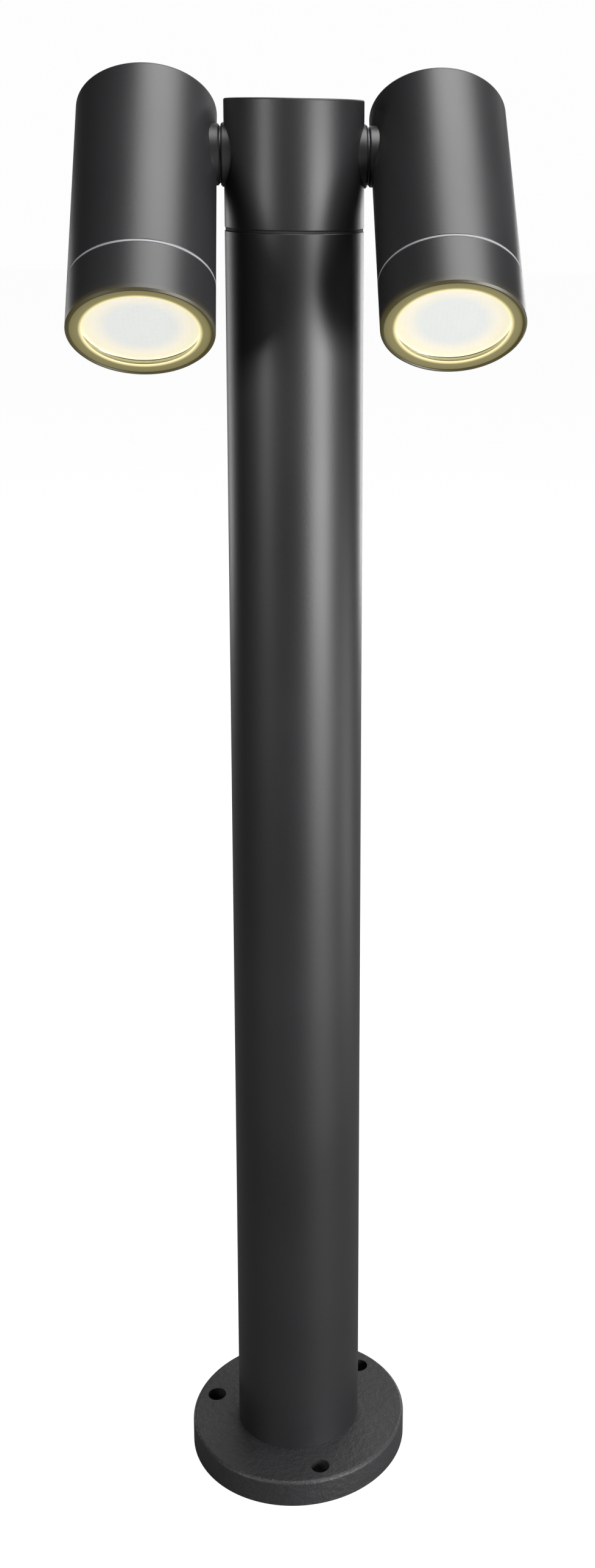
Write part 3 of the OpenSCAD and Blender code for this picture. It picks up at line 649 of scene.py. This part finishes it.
@dataclass
class Palette:
    """The finishes that several sub-assemblies share."""

    coat: bpy.types.Material = field(init=False)
    cast: bpy.types.Material = field(init=False)
    rubber: bpy.types.Material = field(init=False)
    pale_seal: bpy.types.Material = field(init=False)
    steel: bpy.types.Material = field(init=False)
    black_steel: bpy.types.Material = field(init=False)
    raw_aluminium: bpy.types.Material = field(init=False)
    brass: bpy.types.Material = field(init=False)
    ceramic: bpy.types.Material = field(init=False)
    ivory: bpy.types.Material = field(init=False)
    sleeving: bpy.types.Material = field(init=False)
    wires: dict[str, bpy.types.Material] = field(init=False)
    glass: bpy.types.Material = field(init=False)

    def __post_init__(self) -> None:
        """Builds every finish."""
        self.coat = PowderCoat("powder_coat").build()
        self.cast = PowderCoat("coated_casting", light=(0.021, 0.021, 0.0225), grain=330.0, relief=0.0004,
                               roughness=(0.42, 0.56)).build()
        self.rubber = PlainFinish("black_rubber", (0.012, 0.012, 0.012), roughness=(0.6, 0.75)).build()
        self.pale_seal = PlainFinish("pale_seal", (0.24, 0.24, 0.25), roughness=(0.5, 0.65)).build()
        self.steel = PlainFinish("zinc_steel", (0.62, 0.63, 0.65), metallic=1.0,
                                 roughness=(0.24, 0.34)).build()
        self.black_steel = PlainFinish("black_steel", (0.07, 0.07, 0.075), metallic=1.0).build()
        self.raw_aluminium = PlainFinish("raw_aluminium", BARE_ALUMINIUM, metallic=1.0).build()
        self.brass = PlainFinish("brass", (0.72, 0.52, 0.20), metallic=1.0, roughness=(0.22, 0.34)).build()
        self.ceramic = PlainFinish("white_ceramic", (0.80, 0.79, 0.74), vary=0.04,
                                   roughness=(0.35, 0.5)).build()
        self.ivory = PlainFinish("ivory_plastic", (0.74, 0.71, 0.60), vary=0.05).build()
        self.sleeving = PlainFinish("glass_sleeving", (0.76, 0.75, 0.70), grain=2600.0, relief=0.00008,
                                    roughness=(0.6, 0.8)).build()
        self.wires = {name: PlainFinish(f"{name}_insulation", colour, roughness=(0.35, 0.45)).build()
                      for name, colour in {"live": (0.16, 0.06, 0.025), "neutral": (0.03, 0.11, 0.42),
                                           "earth": (0.16, 0.38, 0.05)}.items()}
        self.glass = ClearGlass().build()


@dataclass
class GroundPost:
    """The bolted flange, the inner sleeve and the tube that stands on them."""

    palette: Palette

    def build(self) -> None:
        """Dresses the post's nodes."""
        finishes = {"base_flange": self.palette.cast, "post_tube": self.palette.coat,
                    "base_sleeve": self.palette.raw_aluminium, "sleeve_screws": self.palette.steel,
                    "cable_grommet": self.palette.rubber, "base_set_screws": self.palette.black_steel}
        for node, finish in finishes.items():
            dress(node, finish)


@dataclass
class TopCollar:
    """The closed collar with its gasket, the terminals and the wires inside.

    Attributes:
        palette: The shared finishes.
        pivot_z: Height of the swivel axis.
        lead_x: Where a lead starts in the swivel's bore, and where it leaves it.
        lead_end: Where the right lead's sleeving ends.
        lead_r: Radius of the sleeving.
        wire_r: Radius of a wire.
        wire_at: Distance of a wire from the middle of its lead.
        wire_pair: Half the distance between the two wires in a pole.
        wire_layer: Distance between the layers in which the wires bow.
        wire_pull: How far a wire leaves its lead, and how far it reaches its pole, in a straight line.
        wire_drop: Gap between the sleeving's end and the wires.
        pole_pitch: Pitch of the poles.
        pole_top: Height where the wires end in their poles.
        lead_pull: How far a lead leaves the swivel's bore in a straight line.
        lead_rise: How far under the swivel axis a lead turns down.
    """

    palette: Palette
    pivot_z: float = 0.6345
    lead_x: tuple[float, float] = (0.01995, 0.01255)
    lead_end: tuple[float, float, float] = (0.005, 0.00625, 0.584)
    lead_r: float = 0.0022
    wire_r: float = 0.00085
    wire_at: float = 0.0011
    wire_pair: float = 0.001
    wire_layer: float = 0.0032
    wire_pull: tuple[float, float] = (0.009, 0.012)
    wire_drop: float = 0.0004
    pole_pitch: float = 0.009
    pole_top: float = 0.558
    lead_pull: float = 0.006
    lead_rise: float = 0.004

    def build(self) -> None:
        """Dresses the collar's nodes."""
        finishes = {"seam_gasket": self.palette.rubber, "top_collar": self.palette.coat,
                    "collar_set_screws": self.palette.black_steel, "terminal_bracket": self.palette.steel,
                    "bracket_screws": self.palette.steel, "terminal_block": self.palette.ivory,
                    "terminal_clamps": self.palette.brass, "earth_screw": self.palette.brass}
        for node, finish in finishes.items():
            dress(node, finish)
        for number, name in enumerate(self.palette.wires):
            self.make_wires(number, name)
        for side in Side:
            self.make_lead(side)

    def make_wires(self, number: int, name: str) -> None:
        """Both heads' wires to one pole of the terminal block.

        Args:
            number: Number of the pole, from the left.
            name: Name of the conductor.
        """
        turn = math.radians(240 * number - 90)
        bow = (number - 1) * self.wire_layer
        paths = []
        for side in Side:
            x, y, z = self.lead_end
            start = np.array([side.sign * x + self.wire_at * math.cos(turn),
                              y + self.wire_at * math.sin(turn), z - self.wire_drop])
            end = np.array([(number - 1) * self.pole_pitch + side.sign * self.wire_pair, y, self.pole_top])
            paths.append(curve(start, start + [0, bow, -self.wire_pull[0]],
                               end + [0, bow, self.wire_pull[1]], end))
        pieces = [swept(f"{side.value}_{name}_wire", path, self.wire_r, RIGHTWARD, 14)
                  for side, path in zip(Side, paths)]
        for piece in pieces:
            fit_piece(piece, self.palette.wires[name], "post", f"{name}_wires")

    def make_lead(self, side: Side) -> None:
        """One sleeved lead, from the middle of the swivel bore down to the terminals."""
        flip = np.array([side.sign, 1.0, 1.0])
        inside, mouth = (np.array([x, 0.0, self.pivot_z]) * flip for x in self.lead_x)
        end = np.array(self.lead_end) * flip
        rise = np.array([0, 0, self.pivot_z - self.lead_end[2] - self.lead_rise])
        bend = curve(mouth, mouth - np.array([self.lead_pull, 0, 0]) * flip, end + rise, end)
        straight = inside + (mouth - inside) * np.linspace(0, 1, 6)[:-1, None]
        piece = swept(f"{side.value}_collar_sleeving", np.vstack([straight, bend]), self.lead_r,
                      np.array([0.0, 1.0, 0.0]))
        fit_piece(piece, self.palette.sleeving, "post", side.node("collar_lead"))


@dataclass
class SpotHead:
    """One cylindrical spot head with its swivel.

    Attributes:
        side: Which side of the post it is on.
        palette: The shared finishes.
        lens_r: Radius of the lamp's lens.
        sag: Height of the lens's dome.
        lenslet: Distance between two lenslets.
        lenslet_h: A third of a lenslet's height.
        lead_x: Where the lead starts in the swivel's bore, and where it leaves it, from the head's axis.
        lead_r: Radius of the lead's sleeving.
        lead_pull: How far the lead leaves the bore, and how far it reaches the holder, in a straight line.
        lead_gap: Gap between the lead and the holder.
        neck_r: The thread on the neck lies inside this radius.
        ring_bore_r: The thread in the ring lies inside this radius.
    """

    side: Side
    palette: Palette
    lens_r: float = 0.0238
    sag: float = 0.0005
    lenslet: float = 0.0021
    lenslet_h: float = 0.00002
    lead_x: tuple[float, float] = (-0.043, -0.0175)
    lead_r: float = 0.0022
    lead_pull: tuple[float, float] = (0.009, 0.014)
    lead_gap: float = 0.00005
    neck_r: float = 0.0291
    ring_bore_r: float = 0.02885

    @property
    def axis(self) -> Axis:
        """The head's axis, from the swivel towards the glass."""
        joint = next(j for j in frame["joints"] if j["name"] == self.side.node("ring_turn"))
        return Axis(np.array(joint["pos_m"]), np.array(joint["axis"]))

    def build(self) -> None:
        """Dresses the head's nodes."""
        p = self.palette
        # The friction washer is zinc-plated steel; its black steel finish paints the shade in the swivel gap.
        finishes = {"boss_seal": p.rubber, "friction_washer": p.black_steel,
                    "wave_washer": p.steel, "head_housing": self.housing_coat(), "swivel_stud": p.steel,
                    "swivel_nuts": p.steel, "stop_washer": p.steel, "ring_seal": p.pale_seal,
                    "lamp_holder": p.ceramic, "holder_bracket": p.steel, "holder_screws": p.steel,
                    "foot_screws": p.steel, "lamp_body": self.lit_lamp_body(), "lamp_pins": p.brass,
                    "front_glass": p.glass, "front_ring": self.ring_coat(), "glass_gasket": self.lit_gasket()}
        for part, finish in finishes.items():
            dress(self.side.node(part), finish)
        self.make_lens()
        self.make_lead()

    def make_lens(self) -> None:
        """The lamp's lens: a shallow dome, sag (1 - (r / R)^2) high, under a field of small lenslets.

        The lenslets are the sum of three cosine waves, 60 degrees apart, which fade out over the last part of
        the lens, next to its edge.
        """
        low, high = span(self.side.node("lamp_lens"), self.axis)
        edge = self.lens_r
        rings, spokes, fade_end, fade_over = 70, 240, 0.96, 0.08
        front = np.linspace(0.0, edge, rings)
        radius = np.r_[front, edge, 0.0][:, None]
        angle = np.linspace(0, 2 * math.pi, spokes, endpoint=False)[None, :]
        flat = np.stack(np.broadcast_arrays(radius * np.cos(angle), radius * np.sin(angle)), axis=-1)
        ways = np.radians([0.0, 60.0, 120.0])
        phase = 2 * math.pi / self.lenslet * (flat @ np.stack([np.cos(ways), np.sin(ways)]))
        waves = np.cos(phase).sum(axis=-1)
        fade = np.clip((fade_end - radius / edge) / fade_over, 0.0, 1.0)
        height = high + self.sag * (1 - (radius / edge) ** 2) + fade * self.lenslet_h * waves
        height[rings:] = low
        piece = make_piece(self.side.node("lenslet_lens"), self.axis.place(radius, angle, height),
                           grid_faces(rings + 2, spokes, False, True), sharp_deg=50.0)
        fit_piece(piece, self.lit_lens(), self.side.node("head"), self.side.node("lamp_lens"))

    def make_lead(self) -> None:
        """The sleeved lead, from the middle of the swivel bore round to the back of the ceramic holder."""
        holder_back, _ = span(self.side.node("lamp_holder"), self.axis)
        outwards = RIGHTWARD * self.side.sign
        inside, mouth = (self.axis.origin + x * outwards for x in self.lead_x)
        end = self.axis.origin + (holder_back - self.lead_gap) * self.axis.along
        bend = curve(mouth, mouth + self.lead_pull[0] * outwards,
                     end - self.lead_pull[1] * self.axis.along, end)
        straight = inside + (mouth - inside) * np.linspace(0, 1, 8)[:-1, None]
        piece = swept(self.side.node("head_sleeving"), np.vstack([straight, bend]), self.lead_r,
                      np.cross(self.axis.along, outwards))
        fit_piece(piece, self.palette.sleeving, self.side.node("head"), self.side.node("head_lead"))

    def lit_lamp_body(self) -> bpy.types.Material:
        """The white lamp body, whose front rim has a painted glow where the lens lights it."""
        _, front = span(self.side.node("lamp_body"), self.axis)
        # Painted light: the warm emission on the body's front rim stands for the lens's light falling on it.
        warm, body_r, lit_rim = (1.0, 0.9, 0.62), 0.026, 0.0012
        return Glow(self.side.node("lamp_body"), self.axis, [(0.0, warm), (body_r, warm)],
                    (0.74, 0.74, 0.74), low=front - lit_rim).build()

    def housing_coat(self) -> bpy.types.Material:
        """The housing's coat, with the bare thread on its neck."""
        ring_back, _ = span(self.side.node("front_ring"), self.axis)
        _, neck_front = span(self.side.node("head_housing"), self.axis)
        start, runout = 0.0005, 0.0008
        thread = Thread(self.axis, self.neck_r, ring_back - start, neck_front - runout)
        return PowderCoat(self.side.node("housing_coat"), thread=thread).build()

    def ring_coat(self) -> bpy.types.Material:
        """The ring's coat, with the bare thread in its bore and a painted glow of the lamp's light on its
        front rim.
        """
        ring_back, front = span(self.side.node("front_ring"), self.axis)
        start, lip = 0.0008, 0.0025
        thread = Thread(self.axis, self.ring_bore_r, ring_back + start, front - lip)
        # The warm glow on the ring's front rim is painted light, an emission standing for the lamp's light.
        return PowderCoat(self.side.node("ring_coat"), painted_glow_axis=self.axis, thread=thread).build()

    def lit_lens(self) -> bpy.types.Material:
        """The lit lens: a cool middle and a warm edge."""
        cool, warm, edge = (0.79, 0.80, 0.79), (0.98, 0.90, 0.74), (1.0, 0.93, 0.66)
        middle_r, warm_r = 0.013, 0.019
        stops = [(0.0, cool), (middle_r, cool), (warm_r, warm), (self.lens_r, edge)]
        return Glow(self.side.node("lit_lens"), self.axis, stops, (0.2, 0.2, 0.19)).build()

    def lit_gasket(self) -> bpy.types.Material:
        """The silicone gasket, with a painted glow that stands for some of the lamp's light carried outwards.
        """
        # Painted light: the gasket's emitted colours go from bright next to the lens to dim at its outer
        # edge.
        inner, olive, dark = (1.0, 0.88, 0.48), (0.155, 0.135, 0.05), (0.10, 0.088, 0.03)
        lit_r, dim_r, outer_r = 0.0236, 0.0250, 0.0284
        stops = [(0.0, inner), (lit_r, inner), (dim_r, olive), (outer_r, dark)]
        return Glow(self.side.node("lit_gasket"), self.axis, stops, (0.10, 0.09, 0.05)).build()


# ---------------------------------------------------------------- stage, light and camera


@dataclass(frozen=True)
class SoftBox:
    """One rectangular soft light.

    Attributes:
        name: Name of the light.
        place: Where it stands.
        target: Where it points.
        size: Its width and height.
        power: Its power in watts.
    """

    name: str
    place: tuple[float, float, float]
    target: tuple[float, float, float]
    size: tuple[float, float]
    power: float

    def build(self) -> None:
        """Makes the light."""
        data = bpy.data.lights.new(self.name, "AREA")
        data.shape = "RECTANGLE"
        data.size, data.size_y = self.size
        data.energy = self.power
        light = bpy.data.objects.new(self.name, data)
        light.location = self.place
        facing = Vector(self.target) - Vector(self.place)
        light.rotation_euler = facing.to_track_quat("-Z", "Y").to_euler()
        bpy.context.scene.collection.objects.link(light)


@dataclass
class Studio:
    """A pale floor, soft lights and the camera.

    Attributes:
        lens_mm: Focal length of the camera, on a frame whose long side is sensor_mm.
        sensor_mm: The long side of that frame.
        shift: How far the lens is shifted, in shares of the long side.
        stand: Where the camera stands, before it is turned about the post.
        yaw_deg: How far it is turned about the post.
        pitch_deg: How far it looks down.
        roll_deg: How far it is tipped to the side.
        clip: Nearest and farthest distance that it sees.
        floor_half: Half the side of the floor.
        floor_tone: Share of the light that the floor gives back.
        floor_seen: How bright the floor looks to the eye.
        ambient: How brightly the backdrop lights the object.
        backdrop_seen: How bright the backdrop looks to the eye.
    """

    lens_mm: float = 41.1865
    sensor_mm: float = 36.0
    shift: tuple[float, float] = (-0.091588, -0.139807)
    stand: tuple[float, float, float] = (0.06573, -0.788924, 0.643387)
    yaw_deg: float = -5.935
    pitch_deg: float = 13.422
    roll_deg: float = 0.899
    clip: tuple[float, float] = (0.01, 50.0)
    floor_half: float = 8.0
    floor_tone: float = 0.12
    floor_seen: float = 0.97
    ambient: float = 0.02
    backdrop_seen: float = 0.985

    def build(self) -> None:
        """Makes the floor, the lights and the camera."""
        self.make_camera()
        self.make_floor()
        self.make_lights()
        bpy.context.scene.view_settings.view_transform = "Standard"

    def make_camera(self) -> None:
        """Places the camera: it stands off the post, looks down a little, and is turned and rolled."""
        yaw, pitch, roll = (math.radians(a) for a in (self.yaw_deg, self.pitch_deg, self.roll_deg))
        turn = np.array([[math.cos(yaw), -math.sin(yaw), 0], [math.sin(yaw), math.cos(yaw), 0], [0, 0, 1]])
        forward = turn @ np.array([0, math.cos(pitch), -math.sin(pitch)])
        level = turn @ RIGHTWARD
        upright = np.cross(level, forward)
        right = math.cos(roll) * level + math.sin(roll) * upright
        top = -math.sin(roll) * level + math.cos(roll) * upright
        data = bpy.data.cameras.new("camera")
        camera = bpy.data.objects.new("camera", data)
        bpy.context.scene.collection.objects.link(camera)
        matrix = np.eye(4)
        matrix[:3, :3] = np.column_stack([right, top, -forward])
        matrix[:3, 3] = turn @ np.array(self.stand)
        camera.matrix_world = Matrix(matrix.tolist())
        data.sensor_width = self.sensor_mm
        data.lens = self.lens_mm
        data.shift_x, data.shift_y = self.shift
        data.clip_start, data.clip_end = self.clip
        bpy.context.scene.camera = camera

    def make_floor(self) -> None:
        """A pale floor. It looks brighter to the eye than it lights the object, as a lit sweep does."""
        mesh = bpy.data.meshes.new("floor")
        half = self.floor_half
        corners = [(-half, -half, 0), (half, -half, 0), (half, half, 0), (-half, half, 0)]
        mesh.from_pydata(corners, [], [[0, 1, 2, 3]])
        floor = bpy.data.objects.new("floor", mesh)
        bpy.context.scene.collection.objects.link(floor)
        tone = (self.floor_tone, self.floor_tone, self.floor_tone, 1)
        material, nodes, shader, _ = start_material("pale_floor", Base_Color=tone, Roughness=0.9)
        seen = nodes.add("ShaderNodeLightPath").outputs["Is Camera Ray"]
        shader.inputs["Emission Color"].default_value = (1, 1, 1, 1)
        strength = nodes.math("MULTIPLY", seen, self.floor_seen)
        nodes.tree.links.new(strength, shader.inputs["Emission Strength"])
        mesh.materials.append(material)

    def make_lights(self) -> None:
        """A bright backdrop that lights softly, and soft boxes in front, above, behind and beside."""
        world = bpy.data.worlds.new("studio")
        bpy.context.scene.world = world
        world.use_nodes = True
        world.node_tree.nodes.clear()
        nodes = Nodes(world.node_tree)
        seen = nodes.add("ShaderNodeLightPath").outputs["Is Camera Ray"]
        strength = nodes.add("ShaderNodeMapRange", {"Value": seen, "To Min": self.ambient,
                                                    "To Max": self.backdrop_seen})
        backdrop = nodes.add("ShaderNodeBackground", {"Color": (1, 1, 1, 1),
                                                      "Strength": strength.outputs["Result"]})
        nodes.add("ShaderNodeOutputWorld", {"Surface": backdrop.outputs["Background"]})
        boxes = [SoftBox("right_box", (0.98, -1.12, 0.34), (0.0, 0.0, 0.36), (0.80, 0.66), 34.0),
                 SoftBox("left_box", (-1.1, -0.95, 0.75), (0.0, 0.0, 0.6), (0.30, 0.8), 11.0),
                 SoftBox("top_box", (0.36, -0.15, 1.9), (0.0, 0.0, 0.6), (1.15, 1.1), 33.0),
                 SoftBox("back_box", (0.35, 1.5, 1.3), (0.0, 0.0, 0.2), (1.6, 0.9), 7.0),
                 SoftBox("left_back_box", (-1.05, 1.35, 0.3), (0.0, 0.0, 0.25), (0.35, 0.7), 3.8),
                 SoftBox("right_back_box", (0.9, 1.45, 0.3), (0.0, 0.0, 0.25), (0.55, 0.7), 7.5),
                 SoftBox("rim_box", (0.6, 0.06, 0.18), (0.0, 0.0, 0.2), (0.25, 0.32), 0.7)]
        for box in boxes:
            box.build()


def main() -> None:
    """Builds the finishes, the sub-assemblies and the studio."""
    Groups.build()
    palette = Palette()
    GroundPost(palette).build()
    TopCollar(palette).build()
    for side in Side:
        SpotHead(side, palette).build()
    Studio().build()


if __name__ == "__main__":
    main()
